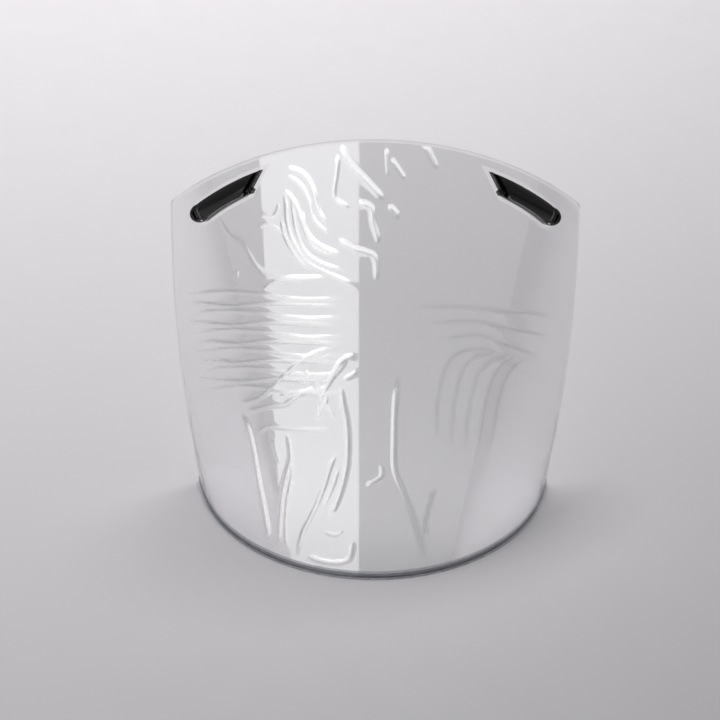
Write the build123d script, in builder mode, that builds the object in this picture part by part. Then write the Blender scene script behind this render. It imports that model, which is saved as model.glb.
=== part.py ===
"""Face shield window with a protective film, a bottom edge trim and two lever clips.

Millimetres, +Z up. The window stands on its bottom edge with its outside towards -Y, and the
origin is at the middle of the base. Right is +X, as seen from the front.
"""

import os
from math import acos, asin, atan2, cos, degrees, hypot, radians, sin, sqrt, tan

from build123d import *

# Sheet: an oblique cone, whose level sections are circles that grow and move back as they rise
height = 220.0              # table to the middle of the top edge
lean = 100.0                # how far the middle of the top edge stands behind that of the bottom
bottom_radius = 101.0       # outer radius of the section at the table
top_radius = 157.0          # outer radius of the section at full height
sheet_wall = 1.5            # measured level
side_cut_bottom = 90.0      # front line to the plane of the side edges, at the table
side_cut_top = 147.0        # front line to the plane of the side edges, at full height
corner_height = 162.5       # table to the two top corners
corner_round = 4.0

# Trim: a channel pushed over the bottom edge
trim_height = 3.0
trim_wall = 0.7
trim_web = 0.8              # what lies between the sheet and the table
edge_fit = 0.03             # room between the sheet and each wall of the channel

# Film
film_wall = 0.1
film_glue = 0.02            # layer between the sheet and the film
film_inset = 1.0            # film edge to sheet edge
film_to_clip = 1.2          # film cut-out around a clip

# Clips: where they sit on the sheet, as angle round the cone from the front and height
pin_angle, pin_foot_height = 41.5, 167.5
tip_angle, tip_height = 23.0, 196.0
clip_width = 10.0
clip_bow = 1.5              # how far the clip's middle arches towards the top edge
tip_slant = 15.0            # length of the slanted inner end, along the clip
plate_wall = 1.8            # base plate
end_wall = 0.9              # raised wall along the base's slanted end
end_wall_rise = 3.4         # its height above the sheet
end_gap = 0.9               # lever's slanted end to the raised wall
step_length, step_reach = 2.6, 1.5
step_place = 0.72           # share of the slanted end from the tip to the step
crown_rise = 6.6            # top of the lever above the sheet
crown_half_width = 6.05     # of the D section that a clip's rounded top is cut from
shoulder_rise = 2.3         # where the D section's round top meets its sides
lever_inset = 0.25          # lever edge inside the base's edge
move_gap = 0.35             # room between the lever and the base

# Hinge
pin_radius = 0.8
pin_rise = 4.0              # pin axis above the sheet
pin_fit = 0.01              # radial room in the boss, which holds the pin
bore_fit = 0.05             # radial room in the lever, which turns on it
pin_end_inset = 0.5         # pin end inside the boss's side
boss_radius = 3.2
knuckle_radius = 2.4
knuckle_width = 4.2
tongue_wall = 3.8           # joins the knuckle to the lever

# Claw: the lever's hook, an arc about the pin that passes through the sheet
claw_inner, claw_outer = 10.8, 13.2
claw_width = 4.2
claw_start, claw_end = 4.0, -112.0      # degrees from the clip's length
slot_gap = 0.5

# Rear plate and rim pad, on the face side
rear_wall = 1.2
rear_end_inset = 3.0        # rear plate's slanted end inside the base's
pad_wall = 1.0
pad_margin = 0.8            # pad edge inside the rear plate's edge
pad_reach_out, pad_reach_in = 4.0, 5.5  # pad ends, from the pin towards the side and the tip

# Fasteners
screw_radius = 1.0
screw_room = 0.1            # radial room in plate, sheet and rear plate
head_radius, head_height = 1.9, 0.9
head_sunk = 0.15            # top of the head below the plate's face
screw_places = (20.0, 33.5)             # from the pin, along the clip
screw_spare = 0.4           # shank past the nut
nut_across_flats, nut_height = 4.0, 1.6
nut_seat = 0.1              # flat nut on a curved plate
thread_fit = 0.01

# Worked out from the values above
spare = 12.0                # how far cutting shapes run past what they cut
clear = 60.0                # longer than any clip piece is deep
half_width = clip_width / 2
slant_length = hypot(tip_slant, clip_width)
slant_angle = degrees(atan2(clip_width, -tip_slant))
slant_share = slant_length / clip_width     # length along the clip for each mm off the slant


def radius_at(z):
    """Outer radius of the level section at height z."""
    return bottom_radius + (top_radius - bottom_radius) * z / height


def side_cut_at(z):
    """Distance from the bottom's front line back to the plane of the side edges."""
    return side_cut_bottom + (side_cut_top - side_cut_bottom) * z / height


corner_back = side_cut_at(corner_height)
corner_turn = acos(1 - (corner_back - lean * corner_height / height) / radius_at(corner_height))
corner_half_width = radius_at(corner_height) * sin(corner_turn)
arch_rise = height - corner_height
arch_radius = (corner_half_width**2 + arch_rise**2) / (2 * arch_rise)
front_y = -(corner_back - trim_wall - edge_fit) / 2


def centre_y_at(z):
    """Y of the centre of the level section at height z."""
    return front_y + lean * z / height + radius_at(z)


def on_sheet(angle, z):
    """Point of the outer face at an angle round the section from the front, and a height."""
    turn = radians(angle)
    return Vector(radius_at(z) * sin(turn), centre_y_at(z) - radius_at(z) * cos(turn), z)


def side_edge_point(z):
    """Point of the right side edge, on the outer face, at height z."""
    turn = acos(1 - (side_cut_at(z) - lean * z / height) / radius_at(z))
    return on_sheet(degrees(turn), z)


def arch_edge_point(x):
    """Point of the top edge, on the outer face, at x."""
    z = height - arch_radius + sqrt(arch_radius**2 - x**2)
    return on_sheet(degrees(asin(x / radius_at(z))), z)


def sheet_normal(angle, z):
    """Outward normal of the outer face, from its slopes along the section and up the cone."""
    turn = radians(angle)
    around = Vector(cos(turn), sin(turn), 0)
    growth = (top_radius - bottom_radius) / height
    upward = Vector(growth * sin(turn), growth * (1 - cos(turn)) + lean / height, 1)
    return around.cross(upward).normalized()


# Frame of the right clip: x along it to the tip, y down across it, z out of the sheet
clip_middle = on_sheet((pin_angle + tip_angle) / 2, (pin_foot_height + tip_height) / 2)
clip_out = sheet_normal((pin_angle + tip_angle) / 2, (pin_foot_height + tip_height) / 2)
pin_foot = on_sheet(pin_angle, pin_foot_height)
tip_foot = on_sheet(tip_angle, tip_height)
clip_plane = Plane(clip_middle, x_dir=tip_foot - pin_foot, z_dir=clip_out)
pin_x = clip_plane.to_local_coords(pin_foot).X
tip_x = clip_plane.to_local_coords(tip_foot).X
bow_radius = ((tip_x - pin_x) ** 2 / 4 + clip_bow**2) / (2 * clip_bow)
bow_centre = Vector((pin_x + tip_x) / 2, bow_radius - clip_bow)
pin_way = (Vector(pin_x, 0) - bow_centre).normalized()


def sheet_z(x):
    """Height of the outer face over the clip's frame at x, found by Newton's steps."""
    z = 0.0
    for _ in range(8):
        point = clip_plane.from_local_coords(Vector(x, 0, z))
        away = hypot(point.X, point.Y - centre_y_at(point.Z)) - radius_at(point.Z)
        z -= away
    return z


def clip_point(x, z):
    """Point on the clip's centre line, at a height over the clip's frame."""
    return clip_plane.from_local_coords(Vector(x, 0, z))


pin_z = sheet_z(pin_x) + pin_rise
crown_sink = -sheet_z(pin_x)
crown_axis_depth = (pin_x**2 + crown_sink**2) / (2 * crown_sink)
pin_plane = Plane(clip_point(pin_x, pin_z), x_dir=clip_plane.x_dir, z_dir=-clip_plane.y_dir)
section_plane = Plane(
    clip_plane.from_local_coords(Vector(0, -clip_bow / 2, 0)),
    x_dir=clip_plane.y_dir,
    z_dir=clip_plane.x_dir,
)
crown_axis = Axis(clip_point(0, -crown_axis_depth), clip_plane.y_dir)

tongue_end = boss_radius + 2 * move_gap

# The claw's slot spans where its arc crosses the plate, the sheet and the rear plate
slot_level = sheet_z(pin_x + claw_inner) - pin_z
slot_low = sqrt(claw_inner**2 - (slot_level - sheet_wall - rear_wall) ** 2) - slot_gap
slot_high = sqrt(claw_outer**2 - (slot_level + plate_wall) ** 2) + slot_gap
side_plane = Plane(
    (0, front_y + side_cut_bottom, 0),
    x_dir=(1, 0, 0),
    z_dir=(0, height, side_cut_bottom - side_cut_top),
)


def cone(grow):
    """Solid oblique cone, with the sheet's outer radius grown by an amount."""
    with BuildPart() as solid:
        for z in (-spare, height + spare):
            with BuildSketch(Plane((0, centre_y_at(z), z))):
                Circle(radius_at(z) + grow)
        loft(ruled=True)
    return solid.part


def layer(inner, outer):
    """Shell between two cones, both measured from the sheet's outer face."""
    with BuildPart() as solid:
        add(cone(outer))
        add(cone(inner), mode=Mode.SUBTRACT)
    return solid.part


def window_outline(bottom, inset):
    """Everything in front of the side edges, under the arch and above a bottom height."""
    shoulder = corner_height - inset
    wide = 2 * (top_radius + spare)
    with BuildPart() as solid:
        with BuildSketch(Plane.XZ):
            with Locations((0, height - arch_radius)):
                Circle(arch_radius - inset)
            with Locations((0, (shoulder - spare) / 2)):
                Rectangle(wide, shoulder + spare)
            with Locations((0, bottom - arch_radius)):
                Rectangle(wide, 2 * arch_radius, mode=Mode.SUBTRACT)
        extrude(amount=2 * top_radius, both=True)
        split(bisect_by=side_plane.offset(-inset), keep=Keep.BOTTOM)
    return solid.part


def clip_outline(grow=0.0, slant_inset=0.0):
    """Sketch of a clip seen from outside: a bowed band with a round end and a slanted one."""
    side = half_width + grow
    pin = Vector(pin_x, 0)
    tip = Vector(tip_x + grow - slant_inset, -side)
    slant = Vector(-tip_slant, 2 * side)
    with BuildSketch(mode=Mode.PRIVATE) as outline:
        with Locations(bow_centre):
            Circle(bow_radius + side)
            Circle(bow_radius - side, mode=Mode.SUBTRACT)
        with BuildLine():
            Polyline(
                pin + spare * pin_way, tip - slant, tip + 2 * slant, pin - spare * pin_way,
                close=True,
            )
        make_face(mode=Mode.INTERSECT)
        with Locations(pin):
            Circle(side)
    return outline.sketch


def step_outline(grow=0.0):
    """Sketch of the small step that stands out of the slanted end."""
    with BuildSketch(mode=Mode.PRIVATE) as outline:
        with Locations((tip_x - step_place * tip_slant, step_place * clip_width - half_width)):
            Rectangle(step_length + 2 * grow, 2 * (step_reach + grow), rotation=slant_angle)
    return outline.sketch


def clip_prism(sketch):
    """Solid that stands through the sheet on a sketch drawn in the clip's frame."""
    with BuildPart() as solid:
        with BuildSketch(clip_plane):
            add(sketch)
        extrude(amount=clear / 2, both=True)
    return solid.part


def pin_barrel(radius, width):
    """Cylinder about the pin's axis, centred on the clip's width."""
    with BuildPart() as solid:
        with BuildSketch(pin_plane):
            Circle(radius)
        extrude(amount=width / 2, both=True)
    return solid.part


def pin_block(x_low, x_high, z_low, z_high, width):
    """Block centred on the clip's width, with its place measured from the pin's axis."""
    with BuildPart() as solid:
        with BuildSketch(pin_plane):
            with Locations(((x_low + x_high) / 2, (z_low + z_high) / 2)):
                Rectangle(x_high - x_low, z_high - z_low)
        extrude(amount=width / 2, both=True)
    return solid.part


def crown_solid():
    """D section with its round side up, carried round the crown axis."""
    side = crown_half_width
    with BuildPart() as solid:
        with BuildSketch(section_plane):
            with BuildLine():
                top = ThreePointArc((-side, shoulder_rise), (0, crown_rise), (side, shoulder_rise))
                Polyline(top @ 1, (side, -spare), (-side, -spare), top @ 0)
            make_face()
        revolve(axis=crown_axis)
    return solid.part


def screw_plane(place):
    """Plane on the sheet's outer face at a screw, facing out."""
    x = pin_x + place
    return Plane(clip_point(x, sheet_z(x)), x_dir=clip_plane.x_dir, z_dir=clip_out)


def screw_column(radius):
    """Round bars through everything at both screws of a clip."""
    with BuildPart() as solid:
        for place in screw_places:
            with BuildSketch(screw_plane(place)):
                Circle(radius)
        extrude(amount=clear / 2, both=True)
    return solid.part


def twin(part):
    """The left hand piece of a pair."""
    with BuildPart() as solid:
        mirror(part, about=Plane.YZ)
    return solid.part


# Slot and screw holes, cut alike in the base plate, the sheet and the rear plate
with BuildPart() as clip_holes:
    add(pin_block(slot_low, slot_high, -clear / 2, 0, claw_width + 2 * slot_gap))
    add(screw_column(screw_radius + screw_room))
left_clip_holes = twin(clip_holes.part)

# What rounding takes off the right top corner, where the side edge meets the arch
edge_step = 1.5 * corner_round
corner = side_edge_point(corner_height)
side_way = (side_edge_point(corner_height - edge_step) - corner).normalized()
arch_way = (arch_edge_point(corner_half_width - edge_step) - corner).normalized()
corner_plane = Plane(corner, x_dir=side_way + arch_way, z_dir=side_way.cross(arch_way))
half_corner = radians(side_way.get_angle(arch_way) / 2)
tangent = corner_round / tan(half_corner)
with BuildPart() as corner_waste:
    with BuildSketch(corner_plane):
        with BuildLine():
            Polyline(
                (tangent * cos(half_corner), tangent * sin(half_corner)),
                (-corner_round / 2, 0),
                (tangent * cos(half_corner), -tangent * sin(half_corner)),
                close=True,
            )
        make_face()
        with Locations((corner_round / sin(half_corner), 0)):
            Circle(corner_round, mode=Mode.SUBTRACT)
    extrude(amount=spare, both=True)

# Window
with BuildPart() as visor_window:
    add(layer(-sheet_wall, 0))
    add(window_outline(trim_web, 0), mode=Mode.INTERSECT)
    add(corner_waste.part, mode=Mode.SUBTRACT)
    add(twin(corner_waste.part), mode=Mode.SUBTRACT)
    add(clip_holes.part, mode=Mode.SUBTRACT)
    add(left_clip_holes, mode=Mode.SUBTRACT)

# Film, cut out around both clips
with BuildSketch() as film_hole_outline:
    add(clip_outline(grow=film_to_clip * slant_share))
    add(step_outline(grow=film_to_clip))
film_hole = clip_prism(film_hole_outline.sketch)
with BuildPart() as outer_film:
    add(layer(film_glue, film_glue + film_wall))
    add(window_outline(trim_height + film_inset, film_inset), mode=Mode.INTERSECT)
    add(film_hole, mode=Mode.SUBTRACT)
    add(twin(film_hole), mode=Mode.SUBTRACT)

# Trim, and the room that its channel leaves for the sheet
with BuildPart() as sheet_room:
    add(layer(-sheet_wall - edge_fit, edge_fit))
    split(bisect_by=Plane.XY.offset(trim_web), keep=Keep.TOP)
with BuildPart() as bottom_edge_trim:
    trim_reach = edge_fit + trim_wall
    add(layer(-sheet_wall - trim_reach, trim_reach))
    add(window_outline(0, 0), mode=Mode.INTERSECT)
    split(bisect_by=Plane.XY.offset(trim_height), keep=Keep.BOTTOM)
    add(sheet_room.part, mode=Mode.SUBTRACT)

# Clip base: plate, raised end wall with its step, and the rounded end that holds the pin
with BuildSketch() as base_outline:
    add(clip_outline())
    add(step_outline())
with BuildSketch() as end_wall_outline:
    add(base_outline.sketch)
    add(clip_outline(slant_inset=end_wall * slant_share), mode=Mode.SUBTRACT)
with BuildPart() as base_plate:
    add(layer(0, plate_wall))
    add(clip_prism(base_outline.sketch), mode=Mode.INTERSECT)
with BuildPart() as base_wall:
    add(layer(0, end_wall_rise))
    add(clip_prism(end_wall_outline.sketch), mode=Mode.INTERSECT)
with BuildPart() as right_clip_base:
    groove_depth = knuckle_radius + move_gap
    groove_width = knuckle_width + 2 * move_gap
    add(pin_barrel(boss_radius, clip_width))
    add(pin_block(-spare, 0, -spare, spare, clip_width))
    add(pin_block(0, boss_radius, -spare, 0, clip_width))
    add(crown_solid(), mode=Mode.INTERSECT)
    add(clip_prism(clip_outline()), mode=Mode.INTERSECT)
    add(base_plate.part)
    add(base_wall.part)
    add(pin_block(-groove_depth, tongue_end + 2 * move_gap, -groove_depth, spare, groove_width),
        mode=Mode.SUBTRACT)
    add(pin_barrel(pin_radius + pin_fit, clear), mode=Mode.SUBTRACT)
    add(cone(0), mode=Mode.SUBTRACT)
    add(clip_holes.part, mode=Mode.SUBTRACT)
    for place in screw_places:
        with BuildSketch(screw_plane(place).offset(plate_wall - head_sunk)):
            Circle(head_radius + screw_room)
        with BuildSketch(screw_plane(place).offset(plate_wall - head_sunk - head_height)):
            Circle(screw_radius + screw_room)
        loft(mode=Mode.SUBTRACT)
        with BuildSketch(screw_plane(place).offset(plate_wall - head_sunk)):
            Circle(head_radius + screw_room)
        extrude(amount=spare, mode=Mode.SUBTRACT)

# Lever: a D section with its knuckle on the pin and its claw
lever_slant_inset = (end_wall + end_gap) * slant_share
with BuildPart() as right_clip_lever:
    add(crown_solid())
    add(clip_prism(clip_outline(-lever_inset, lever_slant_inset)), mode=Mode.INTERSECT)
    add(cone(plate_wall + move_gap), mode=Mode.SUBTRACT)
    add(pin_barrel(boss_radius + move_gap, clear), mode=Mode.SUBTRACT)
    add(pin_block(0, boss_radius + move_gap, -spare, 0, clear), mode=Mode.SUBTRACT)
    split(bisect_by=Plane(pin_plane.origin, z_dir=clip_plane.x_dir), keep=Keep.TOP)
    add(pin_barrel(knuckle_radius, knuckle_width))
    add(pin_block(0, tongue_end, -tongue_wall / 2, tongue_wall / 2, knuckle_width))
    with BuildSketch(pin_plane):
        Circle(claw_outer)
        Circle(claw_inner, mode=Mode.SUBTRACT)
        far = 2 * claw_outer
        turns = [claw_start + (claw_end - claw_start) * share / 4 for share in range(5)]
        with BuildLine():
            Polyline(
                (0, 0), *[(far * cos(radians(a)), far * sin(radians(a))) for a in turns],
                close=True,
            )
        make_face(mode=Mode.INTERSECT)
    extrude(amount=claw_width / 2, both=True)
    add(pin_barrel(pin_radius + bore_fit, clear), mode=Mode.SUBTRACT)

# Rear plate and the pad on it
with BuildPart() as right_rear_plate:
    add(layer(-sheet_wall - rear_wall, -sheet_wall))
    add(clip_prism(clip_outline(slant_inset=rear_end_inset)), mode=Mode.INTERSECT)
    add(clip_holes.part, mode=Mode.SUBTRACT)

with BuildSketch() as pad_outline:
    add(clip_outline(-pad_margin))
    with Locations((pin_x + (pad_reach_in - pad_reach_out) / 2, 0)):
        Rectangle(pad_reach_in + pad_reach_out, clip_width, mode=Mode.INTERSECT)
with BuildPart() as right_rim_pad:
    add(layer(-sheet_wall - rear_wall - pad_wall, -sheet_wall - rear_wall))
    add(clip_prism(pad_outline.sketch), mode=Mode.INTERSECT)

# Fasteners and pins, both sides in one node each
with BuildPart() as lever_pins:
    add(pin_barrel(pin_radius, clip_width - 2 * pin_end_inset))
    mirror(about=Plane.YZ)

shank_end = sheet_wall + rear_wall + nut_seat + nut_height + screw_spare
with BuildPart() as clip_screws:
    for place in screw_places:
        seat = screw_plane(place)
        with BuildSketch(seat.offset(plate_wall - head_sunk)):
            Circle(head_radius)
        with BuildSketch(seat.offset(plate_wall - head_sunk - head_height)):
            Circle(screw_radius)
        loft()
        with BuildSketch(seat.offset(plate_wall - head_sunk - head_height)):
            Circle(screw_radius)
        extrude(amount=-(shank_end + plate_wall - head_sunk - head_height))
    mirror(about=Plane.YZ)

with BuildPart() as clip_nuts:
    for place in screw_places:
        with BuildSketch(screw_plane(place).offset(-sheet_wall - rear_wall - nut_seat)):
            RegularPolygon(nut_across_flats / 2, 6, major_radius=False)
            Circle(screw_radius + thread_fit, mode=Mode.SUBTRACT)
        extrude(amount=-nut_height)
    mirror(about=Plane.YZ)

pieces = {
    "visor_window": visor_window.part,
    "outer_film": outer_film.part,
    "bottom_edge_trim": bottom_edge_trim.part,
    "lever_pins": lever_pins.part,
    "clip_screws": clip_screws.part,
    "clip_nuts": clip_nuts.part,
}
for name, piece in {
    "clip_base": right_clip_base.part,
    "clip_lever": right_clip_lever.part,
    "rear_plate": right_rear_plate.part,
    "rim_pad": right_rim_pad.part,
}.items():
    pieces["right_" + name] = piece
    pieces["left_" + name] = twin(piece)

os.makedirs("parts", exist_ok=True)
for name, piece in pieces.items():
    piece.label = name
    export_step(piece, f"parts/{name}.step")

print("pin centre", pin_plane.origin, "axis", pin_plane.z_dir, "arch radius", arch_radius)
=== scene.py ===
"""Looks of a face shield window: clear sheet, wrinkled film, smoke trim and two black lever clips.

Metres, +Z up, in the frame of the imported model: the sheet stands on its bottom edge with its
outside towards -Y. The sheet is an oblique cone, so a place on it is a pair of numbers: the angle
round the cone from the front, in degrees, and the height over the table, in millimetres.
"""

import bpy
import numpy as np
from bpy.props import FloatProperty, FloatVectorProperty, IntProperty, PointerProperty
from bpy.types import Operator, Panel, PropertyGroup
from mathutils import Matrix, Vector


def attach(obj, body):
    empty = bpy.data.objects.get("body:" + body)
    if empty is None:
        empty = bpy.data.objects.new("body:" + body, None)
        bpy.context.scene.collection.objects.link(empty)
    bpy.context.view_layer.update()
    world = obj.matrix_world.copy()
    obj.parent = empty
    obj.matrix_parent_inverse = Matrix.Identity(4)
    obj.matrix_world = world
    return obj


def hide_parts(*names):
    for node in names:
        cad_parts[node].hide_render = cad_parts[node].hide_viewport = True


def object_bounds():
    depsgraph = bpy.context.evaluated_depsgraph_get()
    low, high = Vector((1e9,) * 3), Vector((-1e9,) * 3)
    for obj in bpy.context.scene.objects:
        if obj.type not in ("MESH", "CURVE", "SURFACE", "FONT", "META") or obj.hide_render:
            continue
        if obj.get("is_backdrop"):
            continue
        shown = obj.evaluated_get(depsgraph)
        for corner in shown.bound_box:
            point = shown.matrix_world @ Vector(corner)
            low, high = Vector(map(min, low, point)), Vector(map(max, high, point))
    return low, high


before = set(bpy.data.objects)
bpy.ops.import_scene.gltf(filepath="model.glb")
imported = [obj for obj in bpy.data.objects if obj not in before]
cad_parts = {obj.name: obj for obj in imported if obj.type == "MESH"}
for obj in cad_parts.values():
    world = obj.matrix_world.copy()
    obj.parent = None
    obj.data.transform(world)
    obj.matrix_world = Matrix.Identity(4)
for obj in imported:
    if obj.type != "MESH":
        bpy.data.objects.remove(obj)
cad_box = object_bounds()

bl_info = {
    "name": "Face Shield Window",
    "version": (1, 0, 0),
    "blender": (4, 5, 0),
    "location": "3D View > Sidebar > Face Shield",
    "description": "Builds the wrinkled film, the finishes and the studio of a face shield window",
    "category": "Object",
}

MM = 0.001

# The sheet's cone and outline, in millimetres
HEIGHT = 220.0
LEAN = 100.0                # top edge behind the bottom edge, at the middle
BOTTOM_RADIUS = 101.0
TOP_RADIUS = 157.0
SIDE_CUT_BOTTOM = 90.0      # front line to the plane of the side edges
SIDE_CUT_TOP = 147.0
CORNER_HEIGHT = 162.5
TRIM_HEIGHT = 3.0
TRIM_REACH = 0.73           # trim's outer face over the sheet

# The right clip on the sheet
PIN_ANGLE, PIN_FOOT_HEIGHT = 41.5, 167.5
TIP_ANGLE, TIP_HEIGHT = 23.0, 196.0
CLIP_WIDTH = 10.0
CLIP_BOW = 1.5
TIP_SLANT = 15.0


# ---------------------------------------------------------------------------------------------
# The sheet as a surface
# ---------------------------------------------------------------------------------------------

def radius_at(z):
    """Radius of the level section at height z: it grows evenly from bottom to top."""
    return BOTTOM_RADIUS + (TOP_RADIUS - BOTTOM_RADIUS) * z / HEIGHT


def side_cut_at(z):
    """Distance from the bottom's front line back to the plane of the side edges."""
    return SIDE_CUT_BOTTOM + (SIDE_CUT_TOP - SIDE_CUT_BOTTOM) * z / HEIGHT


def side_turn(z, inset):
    """Angle of the side edge at height z, where the section's circle meets the side plane."""
    return np.arccos(1 - (side_cut_at(z) - inset - LEAN * z / HEIGHT) / radius_at(z))


CORNER_TURN = float(side_turn(CORNER_HEIGHT, 0))
CORNER_HALF_WIDTH = float(radius_at(CORNER_HEIGHT) * np.sin(CORNER_TURN))
ARCH_RISE = HEIGHT - CORNER_HEIGHT
ARCH_RADIUS = (CORNER_HALF_WIDTH**2 + ARCH_RISE**2) / (2 * ARCH_RISE)
FRONT_Y = -(side_cut_at(CORNER_HEIGHT) - TRIM_REACH) / 2


def on_sheet(turn, z, lift=0.0):
    """Points of the sheet, in metres: a circle of radius_at(z) about a centre that moves back
    as it rises, reached by a turn in radians from the front and moved out by lift."""
    radius = radius_at(z) + lift
    centre_y = FRONT_Y + LEAN * z / HEIGHT + radius_at(z)
    return np.stack([radius * np.sin(turn), centre_y - radius * np.cos(turn), z + 0 * turn], -1) * MM


def grid_quads(rows, columns):
    """Corner numbers of the quads of a grid whose points are stored row by row."""
    first = np.arange(rows - 1)[:, None] * columns + np.arange(columns - 1)
    return np.stack([first, first + 1, first + columns + 1, first + columns], -1).reshape(-1, 4)


def new_piece(name, points, quads):
    """Mesh object at the origin with smooth faces."""
    mesh = bpy.data.meshes.new(name)
    mesh.from_pydata(points, [], quads)
    mesh.polygons.foreach_set("use_smooth", np.ones(len(mesh.polygons), bool))
    mesh.update()
    piece = bpy.data.objects.new(name, mesh)
    bpy.context.scene.collection.objects.link(piece)
    return piece


def settle(piece):
    """Puts the result of the piece's modifiers in its mesh, with sharp edges where it folds."""
    bpy.context.view_layer.update()
    shape = piece.evaluated_get(bpy.context.evaluated_depsgraph_get())
    mesh = bpy.data.meshes.new_from_object(shape)
    mesh.name = piece.name
    mesh.set_sharp_from_angle(angle=np.radians(45))
    piece.modifiers.clear()
    piece.data = mesh


# ---------------------------------------------------------------------------------------------
# Creases of the film
# ---------------------------------------------------------------------------------------------

FULL_CREASE = 0.4           # height from which the film lies in layers, in millimetres
LAYERS_GLOSS = 0.3          # share of gloss that a full crease adds

# Each crease has a half width and a height in millimetres, and a run of (angle, height) places
LONG_CREASES = (
    (2.3, 0.42, ((-7, 217), (-5.5, 209), (-2, 200), (2, 190))),
    (1.7, 0.30, ((-7.5, 213), (-8, 203), (-8.5, 191), (-5, 186))),
    (2.2, 0.40, ((-4, 190), (-1, 187), (-0.5, 180), (1, 169))),
    (2.2, 0.40, ((-8.5, 171), (-5, 167), (-2, 165), (0, 162), (0.5, 150))),
    (2.0, 0.32, ((-19, 203), (-15, 201), (-13, 194), (-12, 184), (-10, 176))),
    (2.0, 0.34, ((-19.5, 194), (-19, 185), (-19, 176), (-18, 167), (-15, 158), (-11, 154), (-3, 147))),
    (1.8, 0.30, ((-18, 192), (-17.5, 182), (-17, 172), (-15.5, 163), (-12, 158), (-6, 155))),
    (1.8, 0.30, ((-15.5, 184), (-15, 174), (-13, 168), (-10, 165), (-7, 163))),
    (1.6, 0.24, ((-27, 170), (-24, 173), (-20.5, 170), (-18, 162), (-15.5, 156), (-13, 154))),
    (1.5, 0.22, ((-26, 177), (-22, 178), (-20.5, 185))),
    (1.6, 0.24, ((-33, 166), (-30, 158), (-28, 151), (-25, 147), (-19, 149), (-10, 152))),
    (1.8, 0.32, ((-40, 74), (-32, 82), (-26, 92), (-21, 102), (-16, 111), (-8, 119))),
    (1.8, 0.30, ((-37, 72), (-29, 80), (-23, 84), (-18, 92), (-13, 95), (-10, 103))),
    (1.6, 0.26, ((-35, 60), (-30, 69), (-23, 72), (-16, 74), (-10, 77))),
    (2.8, 0.62, ((-39, 72), (-36.5, 65), (-35.5, 55), (-35, 40), (-34, 20), (-34, 6))),
    (2.3, 0.48, ((-23.5, 71), (-23, 58), (-25, 47), (-27, 36), (-29, 20), (-30.5, 6))),
    (1.9, 0.36, ((-22, 60), (-23.5, 46), (-25.5, 34), (-27, 20), (-27.5, 6))),
    (2.2, 0.42, ((-12, 96), (-9.5, 106), (-7, 112), (-4, 113))),
    (1.8, 0.32, ((-8, 101), (-6, 103), (-4, 106))),
    (2.4, 0.46, ((-8.5, 101), (-8, 90), (-7, 78), (-7, 62), (-8.5, 48), (-11, 36), (-14, 27))),
    (2.2, 0.42, ((-9, 66), (-11.5, 58), (-14, 45), (-17.5, 31), (-21, 20), (-24, 6))),
    (1.7, 0.30, ((-9.5, 57), (-11, 48), (-13.5, 38), (-16, 30))),
    (2.2, 0.42, ((-21, 9), (-16, 7.5), (-10, 8), (-7, 11), (-6, 20))),
    (1.6, 0.28, ((-15, 23), (-11, 22), (-8.5, 25))),
    (1.7, 0.28, ((-14, 98), (-12, 91), (-14, 83), (-14.5, 77))),
    (1.6, 0.26, ((-25, 87), (-19, 92), (-14.5, 93))),
    (2.6, 0.52, ((6, 106), (5.5, 92), (5.5, 72), (6, 56), (9, 43), (12, 30), (17, 6))),
    (2.0, 0.40, ((17.5, 45), (16.5, 36), (15.5, 27), (16.5, 18))),
    (1.8, 0.34, ((-2, 48), (1, 51), (2.5, 54), (2, 60))),
    (1.8, 0.32, ((9.5, 217), (12.5, 204))),
    (1.6, 0.26, ((3, 211), (6, 200))),
    (1.5, 0.22, ((2, 216), (2.5, 202))),
    (1.6, 0.26, ((3, 188), (5, 183))),
    (1.8, 0.34, ((-27.5, 138), (-23, 145), (-16, 149), (-10, 152))),
    (1.8, 0.34, ((-20, 193), (-17, 186), (-15.5, 175), (-13, 165), (-7, 162))),
    (1.7, 0.32, ((-19, 200), (-15.5, 195), (-14, 188), (-13, 179), (-9.5, 172))),
    (1.6, 0.30, ((-17, 104), (-16.5, 100), (-17, 96))),
    (1.5, 0.28, ((-33, 146), (-33.5, 143), (-33.5, 140))),
    (1.6, 0.30, ((-28, 64), (-27.5, 58), (-27, 53))),
    (1.6, 0.26, ((-36.5, 169), (-34.5, 163), (-31.5, 160))),
    (1.6, 0.30, ((2.5, 188), (4, 184), (5, 181))),
    (1.7, 0.30, ((-20.5, 178), (-19.5, 167), (-17, 158), (-14, 154))),
    (1.6, 0.30, ((-23.5, 84), (-18, 92), (-14.5, 96))),
    (1.7, 0.34, ((-15, 77), (-14, 88), (-12, 96), (-8.5, 106), (-6, 111))),
    (1.6, 0.30, ((-14, 104), (-14, 93), (-12, 87), (-9.5, 79))),
)


def smooth_run(places, steps=8):
    """Catmull-Rom curve through the places: in each span the cubic whose slope at either end is
    half the step between the places on its two sides."""
    p = np.asarray(places, float)
    p = np.vstack([2 * p[0] - p[1], p, 2 * p[-1] - p[-2]])
    a, b, c, d = (p[i : len(p) - 3 + i, None] for i in range(4))
    t = np.linspace(0, 1, steps, endpoint=False)[:, None]
    curve = 2 * b + (c - a) * t + (2 * a - 5 * b + 4 * c - d) * t**2 + (3 * b - a - 3 * c + d) * t**3
    return np.vstack([curve.reshape(-1, 2) / 2, p[-2]])


def ease(share):
    """0 below 0, 1 above 1, and a smooth cubic step between."""
    share = np.clip(share, 0, 1)
    return share * share * (3 - 2 * share)


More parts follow.
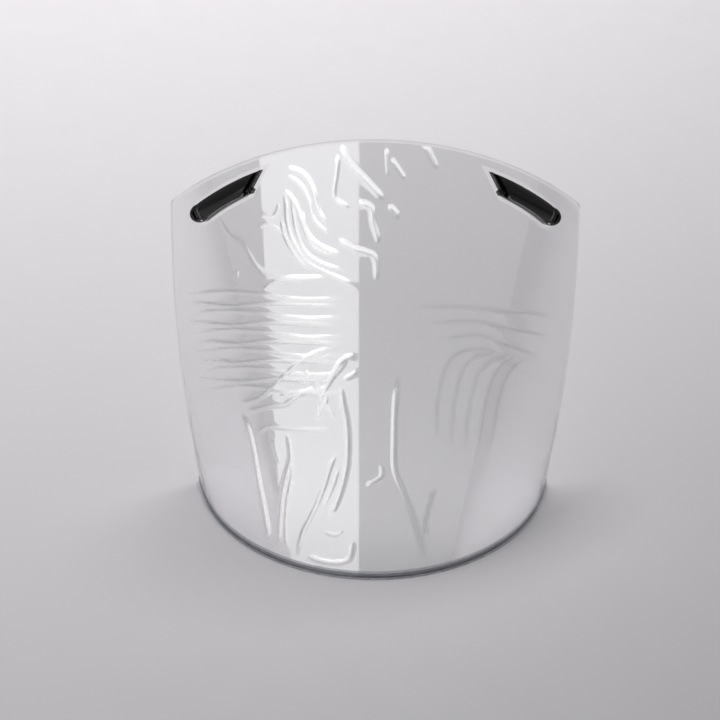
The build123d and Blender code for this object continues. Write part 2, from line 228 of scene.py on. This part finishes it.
def ridge(points, places, half_width, height):
    """Height over the sheet of one ridge at each point, in millimetres: half a cosine wave
    across its run, faded in and out over the end sixths of its length."""
    run = smooth_run(places)
    line = on_sheet(np.radians(run[:, 0]), run[:, 1]) / MM
    start, step = line[:-1], np.diff(line, axis=0)
    length = np.linalg.norm(step, axis=1)
    before = np.cumsum(length) - length
    away = points[:, None] - start
    share = np.clip((away * step).sum(-1) / length**2, 0, 1)
    gap = np.linalg.norm(away - share[..., None] * step, axis=-1)
    nearest = gap.argmin(1)
    each = np.arange(len(points))
    along = (before[nearest] + share[each, nearest] * length[nearest]) / length.sum()
    across = (1 + np.cos(np.pi * np.minimum(gap[each, nearest] / half_width, 1))) / 2
    return height * across * ease(6 * np.minimum(along, 1 - along))


def ripple_creases():
    """The sheaf of near level ripples on the left: they start low at the side, fan apart a
    little, and flatten out as they reach the front."""
    sheaf = []
    for i in range(11):
        front = 143 - 4.7 * i
        wave = 1.2 * (-1) ** i
        sheaf.append((1.5 + 0.15 * (i % 3), 0.29 + 0.06 * (i % 2), (
            (-62 + 3 * (i % 3), front - 30 - wave), (-49, front - 21), (-37, front - 12 + wave),
            (-27, front - 6), (-16, front - 3 - wave), (-5 - 1.5 * (i % 2), front),
        )))
    for i in range(7):
        middle = 92 - 9 * i
        sheaf.append((1.5, 0.16, (
            (-66 + 2 * (i % 2), middle - 14), (-56, middle - 6), (-46, middle + 1 + i % 2),
            (-38, middle + 4),
        )))
    return sheaf


def faint_creases():
    """Low loops and uprights on the right half, as arcs about a middle place."""
    loops = []
    for i in range(5):
        middle, top = 19 + 4.5 * i, 112 - 4 * i
        loops.append((2.0, 0.15, (
            (middle - 2, top - 46), (middle - 2.5, top - 24), (middle - 1, top - 6), (middle + 3, top),
            (middle + 9, top - 3),
        )))
    for i in range(4):
        loops.append((1.9, 0.13, (
            (8 + 3 * i, 138 - 9 * i), (22 + 2 * i, 134 - 8 * i), (38, 122 - 9 * i), (54, 108 - 11 * i),
        )))
    return loops


def crease_heights(points):
    """Heights of all creases together: the fourth root of the sum of their fourth powers, which
    is the highest of them with soft crossings."""
    total = np.zeros(len(points))
    for half_width, height, places in (*LONG_CREASES, *ripple_creases(), *faint_creases()):
        total += ridge(points, places, half_width, height) ** 4
    return total**0.25


# ---------------------------------------------------------------------------------------------
# Settings
# ---------------------------------------------------------------------------------------------

class ShieldFilmSettings(PropertyGroup):
    """Sizes of the protective film."""

    wall: FloatProperty(
        name="Film wall", description="Thickness of the film", default=0.1 * MM, min=0, unit="LENGTH")
    rest: FloatProperty(
        name="Rest", description="Gap between sheet and flat film", default=0.02 * MM, min=0,
        unit="LENGTH")
    inset: FloatProperty(
        name="Inset", description="Film edge to sheet edge", default=1.0 * MM, min=0, unit="LENGTH")
    clip_gap: FloatProperty(
        name="Clip gap", description="Cut-out edge to clip", default=2.2 * MM, min=0, unit="LENGTH")
    crease_scale: FloatProperty(
        name="Crease height", description="Share of the drawn crease heights", default=1.25, min=0,
        subtype="FACTOR")
    columns: IntProperty(name="Columns", description="Points round the film", default=236, min=20)
    rows: IntProperty(name="Rows", description="Points up the film", default=206, min=20)


class ShieldFinishSettings(PropertyGroup):
    """Colours of the pieces."""

    sheet_tint: FloatVectorProperty(
        name="Sheet", description="Tint of the clear sheet", subtype="COLOR",
        default=(0.968, 0.969, 0.973))
    film_tint: FloatVectorProperty(
        name="Film", description="Light that the film lets through", subtype="COLOR",
        default=(0.985, 0.987, 0.99))
    smoke: FloatVectorProperty(
        name="Smoke", description="Trim colour", subtype="COLOR", default=(0.30, 0.305, 0.32))
    black: FloatVectorProperty(
        name="Black", description="Clip colour", subtype="COLOR", default=(0.005, 0.005, 0.0055))
    rubber: FloatVectorProperty(
        name="Rubber", description="Pad colour", subtype="COLOR", default=(0.03, 0.03, 0.032))
    steel: FloatVectorProperty(
        name="Steel", description="Fastener colour", subtype="COLOR", default=(0.56, 0.57, 0.58))


class ShieldStudioSettings(PropertyGroup):
    """Floor, lights and camera."""

    floor: FloatVectorProperty(
        name="Floor", description="Floor colour", subtype="COLOR", default=(0.81, 0.785, 0.81))
    ambient: FloatProperty(
        name="Ambient", description="Brightness of the room where it only lights", default=0.1,
        min=0)
    room: FloatProperty(
        name="Room", description="Brightness of the room where it is seen", default=0.4, min=0)
    panel: FloatProperty(
        name="Front panel", description="Power of the upright panel", default=1.7, min=0, unit="POWER")
    top: FloatProperty(
        name="Top light", description="Power of the light over the back", default=55.0, min=0,
        unit="POWER")
    ceiling: FloatProperty(
        name="Ceiling", description="Power of the ceiling that only shows in gloss", default=30.0,
        min=0, unit="POWER")
    lens: FloatProperty(
        name="Lens", description="Focal length", default=115.0, min=1, subtype="DISTANCE_CAMERA")


class ShieldSettings(PropertyGroup):
    """All settings of the face shield."""

    film: PointerProperty(type=ShieldFilmSettings)
    finish: PointerProperty(type=ShieldFinishSettings)
    studio: PointerProperty(type=ShieldStudioSettings)


# ---------------------------------------------------------------------------------------------
# Finishes
# ---------------------------------------------------------------------------------------------

class Finish:
    """A new node material, with short ways to add and join its nodes."""

    def __init__(self, name):
        self.material = bpy.data.materials.new(name)
        self.material.use_nodes = True
        self.tree = self.material.node_tree
        self.tree.nodes.clear()
        self.output = self.add("ShaderNodeOutputMaterial")

    def add(self, kind, **values):
        """New node, with values for its inputs by name, underscores standing for spaces."""
        node = self.tree.nodes.new(kind)
        for name, value in values.items():
            node.inputs[name.replace("_", " ")].default_value = value
        return node

    def join(self, source, target):
        """Link from an output socket to an input socket."""
        self.tree.links.new(source, target)

    def noise(self, scale, detail=2.0):
        """Noise over the piece's own coordinates; scale is in cells a metre."""
        place = self.add("ShaderNodeTexCoord")
        noise = self.add("ShaderNodeTexNoise", Scale=scale, Detail=detail)
        self.join(place.outputs["Object"], noise.inputs["Vector"])
        return noise.outputs["Fac"]

    def spread(self, source, low, high):
        """Noise stretched over its usual range, 0.3 to 0.7, to run from low to high."""
        spread = self.add("ShaderNodeMapRange", From_Min=0.3, From_Max=0.7, To_Min=low, To_Max=high)
        self.join(source, spread.inputs["Value"])
        return spread.outputs["Result"]

    def bump(self, source, depth):
        """Bump of a depth in metres."""
        bump = self.add("ShaderNodeBump", Strength=1.0, Distance=depth)
        self.join(source, bump.inputs["Height"])
        return bump

    def show(self, shader):
        """Makes a shader what the surface shows."""
        self.join(shader.outputs[0], self.output.inputs["Surface"])


def rgba(colour):
    """Four numbers from a colour property."""
    return (*colour, 1.0)


def clear_sheet(finish):
    """Clear polycarbonate that lets lamps through, with faint wipe marks in its gloss."""
    look = Finish("clear_sheet")
    glass = look.add("ShaderNodeBsdfPrincipled", Base_Color=rgba(finish.sheet_tint), IOR=1.586,
                     Transmission_Weight=1.0)
    look.join(look.spread(look.noise(60, 4), 0.0, 0.02), glass.inputs["Roughness"])
    lamp = look.add("ShaderNodeBsdfTransparent", Color=(0.93, 0.94, 0.945, 1))
    path = look.add("ShaderNodeLightPath")
    mix = look.add("ShaderNodeMixShader")
    look.join(path.outputs["Is Shadow Ray"], mix.inputs[0])
    look.join(glass.outputs[0], mix.inputs[1])
    look.join(lamp.outputs[0], mix.inputs[2])
    look.show(mix)
    return look.material


def clear_film(finish):
    """Thin clear film: see-through, with a gloss that grows as the fifth power towards its
    outline, over a very fine unevenness. Where it is creased it lies in several layers, so
    there its gloss is stronger and softer."""
    look = Finish("clear_film")
    through = look.add("ShaderNodeBsdfTransparent", Color=rgba(finish.film_tint))
    gloss = look.add("ShaderNodeBsdfAnisotropic", Color=(1, 1, 1, 1), Roughness=0.03)
    bump = look.bump(look.noise(900, 2), 0.000004)
    look.join(bump.outputs[0], gloss.inputs["Normal"])
    facing = look.add("ShaderNodeLayerWeight", Blend=0.5)
    power = look.add("ShaderNodeMath")
    power.operation = "POWER"
    power.inputs[1].default_value = 5
    share = look.add("ShaderNodeMapRange", To_Min=0.12, To_Max=0.9)
    look.join(facing.outputs["Facing"], power.inputs[0])
    look.join(power.outputs[0], share.inputs["Value"])
    crease = look.add("ShaderNodeAttribute")
    crease.attribute_name = "crease"
    soft = look.add("ShaderNodeMapRange", To_Min=0.03, To_Max=0.3)
    look.join(crease.outputs["Fac"], soft.inputs["Value"])
    look.join(soft.outputs["Result"], gloss.inputs["Roughness"])
    layers = look.add("ShaderNodeMath")
    layers.operation = "MULTIPLY_ADD"
    layers.inputs[1].default_value = LAYERS_GLOSS
    look.join(crease.outputs["Fac"], layers.inputs[0])
    look.join(share.outputs["Result"], layers.inputs[2])
    mix = look.add("ShaderNodeMixShader")
    look.join(layers.outputs[0], mix.inputs[0])
    look.join(through.outputs[0], mix.inputs[1])
    look.join(gloss.outputs[0], mix.inputs[2])
    look.show(mix)
    return look.material


def plastic(name, colour, roughness, bump_depth, grain, coat=0.0, edge_round=0.3 * MM):
    """Moulded plastic or rubber: a little colour and gloss variation over a fine grain, with
    its edges shaded as if slightly rounded."""
    lighter = 1.35
    look = Finish(name)
    shader = look.add("ShaderNodeBsdfPrincipled", Coat_Weight=coat, Coat_Roughness=0.06, IOR=1.5)
    blotch = look.add("ShaderNodeMix")
    blotch.data_type = "RGBA"
    blotch.inputs["A"].default_value = rgba(colour)
    blotch.inputs["B"].default_value = rgba([lighter * c for c in colour])
    look.join(look.noise(150, 3), blotch.inputs["Factor"])
    look.join(blotch.outputs["Result"], shader.inputs["Base Color"])
    look.join(look.spread(look.noise(320, 3), *roughness), shader.inputs["Roughness"])
    bump = look.bump(look.noise(grain, 3), bump_depth)
    edge = look.add("ShaderNodeBevel", Radius=edge_round)
    look.join(edge.outputs[0], bump.inputs["Normal"])
    look.join(bump.outputs[0], shader.inputs["Normal"])
    look.show(shader)
    return look.material


def smoke_plastic(finish):
    """Smoke grey see-through extrusion."""
    look = Finish("smoke_trim")
    body = look.add("ShaderNodeBsdfPrincipled", Base_Color=rgba(finish.smoke), IOR=1.5)
    look.join(look.spread(look.noise(400, 3), 0.12, 0.24), body.inputs["Roughness"])
    bump = look.bump(look.noise(700, 2), 0.00001)
    look.join(bump.outputs[0], body.inputs["Normal"])
    through = look.add("ShaderNodeBsdfTransparent", Color=(0.9, 0.905, 0.92, 1))
    mix = look.add("ShaderNodeMixShader", Fac=0.72)
    look.join(body.outputs[0], mix.inputs[1])
    look.join(through.outputs[0], mix.inputs[2])
    look.show(mix)
    return look.material


def steel_metal(finish):
    """Stainless steel with fine, uneven wear."""
    look = Finish("steel")
    metal = look.add("ShaderNodeBsdfPrincipled", Base_Color=rgba(finish.steel), Metallic=1.0)
    look.join(look.spread(look.noise(1500, 3), 0.2, 0.4), metal.inputs["Roughness"])
    bump = look.bump(look.noise(2500, 2), 0.000006)
    look.join(bump.outputs[0], metal.inputs["Normal"])
    look.show(metal)
    return look.material


def dress(material, *names):
    """Gives CAD nodes a finish."""
    for name in names:
        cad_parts[name].material_slots[0].material = material


# ---------------------------------------------------------------------------------------------
# Operators
# ---------------------------------------------------------------------------------------------

class SHIELD_OT_window(Operator):
    """Give the clear sheet its finish"""

    bl_idname = "shield.window"
    bl_label = "Clear sheet"

    def execute(self, context):
        dress(clear_sheet(context.scene.shield.finish), "visor_window")
        return {"FINISHED"}


def film_places(film):
    """Turns and heights of the film's grid, rows up and columns across.

    Bottom edge, arch and side edges are blended into a four-sided patch: straight between the
    bottom and the arch, plus each side edge's bulge from straight times the share of the way
    to it. Columns crowd to the left of the front, where most creases are."""
    inset = film.inset / MM
    bottom = TRIM_HEIGHT + inset
    even = np.linspace(-1, 1, 1000)
    crowd_from, crowd_to, fade, extra = -0.85, 0.25, 0.2, 1.4
    crowding = 1 + extra * ease((even - crowd_from) / fade) * ease((crowd_to - even) / fade)
    density = np.cumsum(crowding)
    across = np.interp(np.linspace(density[0], density[-1], film.columns), density, even)[None, :]
    up = np.linspace(0, 1, film.rows)[:, None]

    arch_radius = ARCH_RADIUS - inset
    corner_x = CORNER_HALF_WIDTH - inset
    arch_z = HEIGHT - ARCH_RADIUS + np.sqrt(arch_radius**2 - (corner_x * across) ** 2)
    arch_turn = np.arcsin(corner_x * across / radius_at(arch_z))
    corner_z = arch_z[0, -1]

    bottom_turn = side_turn(bottom, inset)
    side = side_turn(bottom + up * (corner_z - bottom), inset)
    side_end = side_turn(corner_z, inset)
    bulge = side - ((1 - up) * bottom_turn + up * side_end)
    turn = (1 - up) * bottom_turn * across + up * arch_turn + bulge * across
    z = bottom + up * (arch_z - bottom)
    return turn, z


def clip_gap(points, margin):
    """Distance outside the nearest clip's outline grown by a margin, negative inside: the
    farthest out of its bowed band, whose middle line is a circle's arc from pin to tip, and its
    slanted end, or the distance from its round end."""
    places = np.radians([(PIN_ANGLE + TIP_ANGLE) / 2, PIN_ANGLE, TIP_ANGLE])
    heights = np.array([(PIN_FOOT_HEIGHT + TIP_HEIGHT) / 2, PIN_FOOT_HEIGHT, TIP_HEIGHT])
    middle, pin, tip = on_sheet(places, heights) / MM
    turn_step, rise_step = 0.001, 0.1
    around = on_sheet(places[0] + turn_step, heights[0]) - on_sheet(places[0] - turn_step, heights[0])
    upward = on_sheet(places[0], heights[0] + rise_step) - on_sheet(places[0], heights[0] - rise_step)
    out = np.cross(around, upward)
    out /= np.linalg.norm(out)
    along = (tip - pin) - np.dot(tip - pin, out) * out
    along /= np.linalg.norm(along)
    down = np.cross(out, along)
    mirrored = points * np.where(points[:, :1] < 0, (-1, 1, 1), (1, 1, 1))
    x, y = (mirrored - middle) @ along, (mirrored - middle) @ down
    pin_x, tip_x = (pin - middle) @ along, (tip - middle) @ along
    side = CLIP_WIDTH / 2 + margin
    slant = np.array([CLIP_WIDTH, TIP_SLANT]) / np.hypot(CLIP_WIDTH, TIP_SLANT)
    end = (x - tip_x) * slant[0] + (y + CLIP_WIDTH / 2) * slant[1] - margin
    bow_radius = ((tip_x - pin_x) ** 2 / 4 + CLIP_BOW**2) / (2 * CLIP_BOW)
    from_centre = np.hypot(x - (pin_x + tip_x) / 2, y - bow_radius + CLIP_BOW)
    body = np.maximum(np.abs(from_centre - bow_radius) - side, end)
    return np.where(x < pin_x, np.hypot(x - pin_x, y) - side, body)


class SHIELD_OT_film(Operator):
    """Build the wrinkled protective film"""

    bl_idname = "shield.film"
    bl_label = "Protective film"

    def execute(self, context):
        film = context.scene.shield.film
        margin = film.clip_gap / MM
        turn, z = (a.ravel() for a in np.broadcast_arrays(*film_places(film)))
        quads = grid_quads(film.rows, film.columns)
        flat = on_sheet(turn, z) / MM
        kept = clip_gap(flat[quads].mean(1), margin) > 0

        # Points between kept and dropped quads move onto the cut-out's outline
        rim = np.intersect1d(quads[kept], quads[~kept])
        reach, step, least_slope = 140.0, 0.01, 0.2     # reach is about the radius by the clips
        for _ in range(4):
            gap = clip_gap(flat[rim], margin)
            by_turn = clip_gap(on_sheet(turn[rim] + step / reach, z[rim]) / MM, margin) - gap
            by_z = clip_gap(on_sheet(turn[rim], z[rim] + step) / MM, margin) - gap
            slope = np.maximum((by_turn**2 + by_z**2) / step**2, least_slope)
            turn[rim] -= gap * by_turn / step / slope / reach
            z[rim] -= gap * by_z / step / slope
            flat[rim] = on_sheet(turn[rim], z[rim]) / MM

        lift = film.rest / MM + film.crease_scale * crease_heights(flat)
        used, quads = np.unique(quads[kept], return_inverse=True)
        points = on_sheet(turn[used], z[used], lift[used])
        piece = new_piece("wrinkled_film", points, quads.reshape(-1, 4))
        crease = piece.data.attributes.new("crease", "FLOAT", "POINT")
        crease.data.foreach_set("value", np.clip(lift[used] / FULL_CREASE, 0, 1))
        wall = piece.modifiers.new("Wall", "SOLIDIFY")
        wall.thickness, wall.offset = film.wall, 1
        settle(piece)
        piece.data.materials.append(clear_film(context.scene.shield.finish))
        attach(piece, "window")
        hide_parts("outer_film")
        return {"FINISHED"}


class SHIELD_OT_trim(Operator):
    """Give the bottom edge trim its finish"""

    bl_idname = "shield.trim"
    bl_label = "Bottom edge trim"

    def execute(self, context):
        dress(smoke_plastic(context.scene.shield.finish), "bottom_edge_trim")
        return {"FINISHED"}


class SHIELD_OT_clips(Operator):
    """Give the clip bases and levers their gloss"""

    bl_idname = "shield.clips"
    bl_label = "Clips"

    def execute(self, context):
        black = plastic("gloss_black", context.scene.shield.finish.black, (0.1, 0.2), 0.000006, 500,
                        coat=0.1)
        dress(black, "left_clip_base", "right_clip_base", "left_clip_lever", "right_clip_lever")
        return {"FINISHED"}


class SHIELD_OT_rear(Operator):
    """Give the rear plates and rim pads their finish"""

    bl_idname = "shield.rear"
    bl_label = "Rear plates and pads"

    def execute(self, context):
        finish = context.scene.shield.finish
        satin = plastic("satin_black", finish.black, (0.35, 0.5), 0.00002, 1200)
        rubber = plastic("pad_rubber", finish.rubber, (0.6, 0.8), 0.00004, 1600)
        dress(satin, "left_rear_plate", "right_rear_plate")
        dress(rubber, "left_rim_pad", "right_rim_pad")
        return {"FINISHED"}


class SHIELD_OT_fasteners(Operator):
    """Give the pins, screws and nuts their finish"""

    bl_idname = "shield.fasteners"
    bl_label = "Fasteners"

    def execute(self, context):
        dress(steel_metal(context.scene.shield.finish), "lever_pins", "clip_screws", "clip_nuts")
        return {"FINISHED"}


def area_light(name, place, aim, width, height, power):
    """Rectangular lamp that faces a point, out of the camera's sight."""
    lamp = bpy.data.lights.new(name, "AREA")
    lamp.shape, lamp.size, lamp.size_y, lamp.energy = "RECTANGLE", width, height, power
    light = bpy.data.objects.new(name, lamp)
    light.location = place
    light.rotation_euler = (Vector(aim) - Vector(place)).to_track_quat("-Z", "Y").to_euler()
    light.visible_camera = False
    bpy.context.scene.collection.objects.link(light)
    return light


class SHIELD_OT_studio(Operator):
    """Build the floor, the lights and the camera"""

    bl_idname = "shield.studio"
    bl_label = "Studio"

    def execute(self, context):
        studio = context.scene.shield.studio
        rings, spokes, floor_radius = 24, 96, 6.0
        radius = floor_radius * np.linspace(0, 1, rings)[:, None] ** 2
        turn = np.linspace(0, 2 * np.pi, spokes)[None, :]
        points = np.stack([radius * np.cos(turn), radius * np.sin(turn), 0 * radius * turn], -1)
        floor = new_piece("floor", points.reshape(-1, 3), grid_quads(rings, spokes))
        look = Finish("pale_floor")
        shader = look.add("ShaderNodeBsdfPrincipled", Base_Color=rgba(studio.floor))
        look.join(look.spread(look.noise(40, 4), 0.55, 0.7), shader.inputs["Roughness"])
        look.show(shader)
        floor.data.materials.append(look.material)
        floor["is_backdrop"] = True

        world = bpy.data.worlds.new("room")
        world.use_nodes = True
        world.node_tree.nodes["Background"].inputs["Color"].default_value = (1, 1, 1, 1)
        links, nodes = world.node_tree.links, world.node_tree.nodes
        path, strength = nodes.new("ShaderNodeLightPath"), nodes.new("ShaderNodeMapRange")
        mirrored_share = 0.6    # a mirrored room is this far from the seen one to the lighting one
        strength.inputs["To Min"].default_value = studio.room
        strength.inputs["To Max"].default_value = studio.ambient
        unseen = nodes.new("ShaderNodeMath")
        unseen.operation = "MULTIPLY_ADD"
        unseen.inputs[1].default_value = mirrored_share
        links.new(path.outputs["Is Glossy Ray"], unseen.inputs[0])
        links.new(path.outputs["Is Diffuse Ray"], unseen.inputs[2])
        links.new(unseen.outputs[0], strength.inputs["Value"])
        links.new(strength.outputs["Result"], nodes["Background"].inputs["Strength"])
        context.scene.world = world

        turn = np.radians(-30)
        panel_place = Vector((np.sin(turn), -np.cos(turn), 0.38))
        area_light("front_panel", panel_place, (0, 0, 0.38), 0.83, 0.76, studio.panel)
        area_light("top_light", (-0.03, 0.85, 1.91), (-1.42, 2.5, 0), 1.2, 1.2, studio.top)

        ceiling = area_light("ceiling", (0, -1.0, 1.5), (0, -0.5, 0), 3.6, 2.4, studio.ceiling)
        ceiling.visible_diffuse = False

        camera = bpy.data.objects.new("camera", bpy.data.cameras.new("camera"))
        camera.data.lens = studio.lens
        camera.data.sensor_width = 36.0
        azimuth, elevation, roll = np.radians((0.25, 33.56, 0.39))
        aim, distance = Vector((-0.0077, -0.0147, 0.1114)), 1.25
        back = Vector((np.sin(azimuth) * np.cos(elevation), -np.cos(azimuth) * np.cos(elevation),
                       np.sin(elevation)))
        right = Vector((np.cos(azimuth), np.sin(azimuth), 0))
        upward = back.cross(right)
        level = Matrix((right, upward, back)).transposed().to_4x4()
        camera.matrix_world = (Matrix.Translation(aim + distance * back) @ level
                               @ Matrix.Rotation(roll, 4, "Z"))
        context.scene.collection.objects.link(camera)
        context.scene.camera = camera
        context.scene.view_settings.view_transform = "Standard"
        return {"FINISHED"}


class SHIELD_PT_sidebar(Panel):
    """Buttons and settings in the 3D view's sidebar"""

    bl_label = "Face Shield"
    bl_idname = "SHIELD_PT_sidebar"
    bl_space_type = "VIEW_3D"
    bl_region_type = "UI"
    bl_category = "Face Shield"

    def draw(self, context):
        for operator in OPERATORS:
            self.layout.operator(operator.bl_idname)
        for group in (context.scene.shield.film, context.scene.shield.finish,
                      context.scene.shield.studio):
            box = self.layout.box()
            for name in group.bl_rna.properties.keys():
                if name not in {"rna_type", "name"}:
                    box.prop(group, name)


OPERATORS = (
    SHIELD_OT_window,
    SHIELD_OT_film,
    SHIELD_OT_trim,
    SHIELD_OT_clips,
    SHIELD_OT_rear,
    SHIELD_OT_fasteners,
    SHIELD_OT_studio,
)
CLASSES = (
    ShieldFilmSettings,
    ShieldFinishSettings,
    ShieldStudioSettings,
    ShieldSettings,
    *OPERATORS,
    SHIELD_PT_sidebar,
)


def register():
    """Adds the classes and the scene's settings."""
    for cls in CLASSES:
        bpy.utils.register_class(cls)
    bpy.types.Scene.shield = PointerProperty(type=ShieldSettings)


def unregister():
    """Takes them away again."""
    del bpy.types.Scene.shield
    for cls in reversed(CLASSES):
        bpy.utils.unregister_class(cls)


def main():
    """Builds everything and works out the sizes of the CAD nodes and of the built scene."""
    register()
    for operator in OPERATORS:
        group, name = operator.bl_idname.split(".")
        getattr(getattr(bpy.ops, group), name)()
    sizes = {"cad": cad_box, "visual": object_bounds()}
    sizes = {name: [list(corner) for corner in box] for name, box in sizes.items()}


if __name__ == "__main__":
    main()
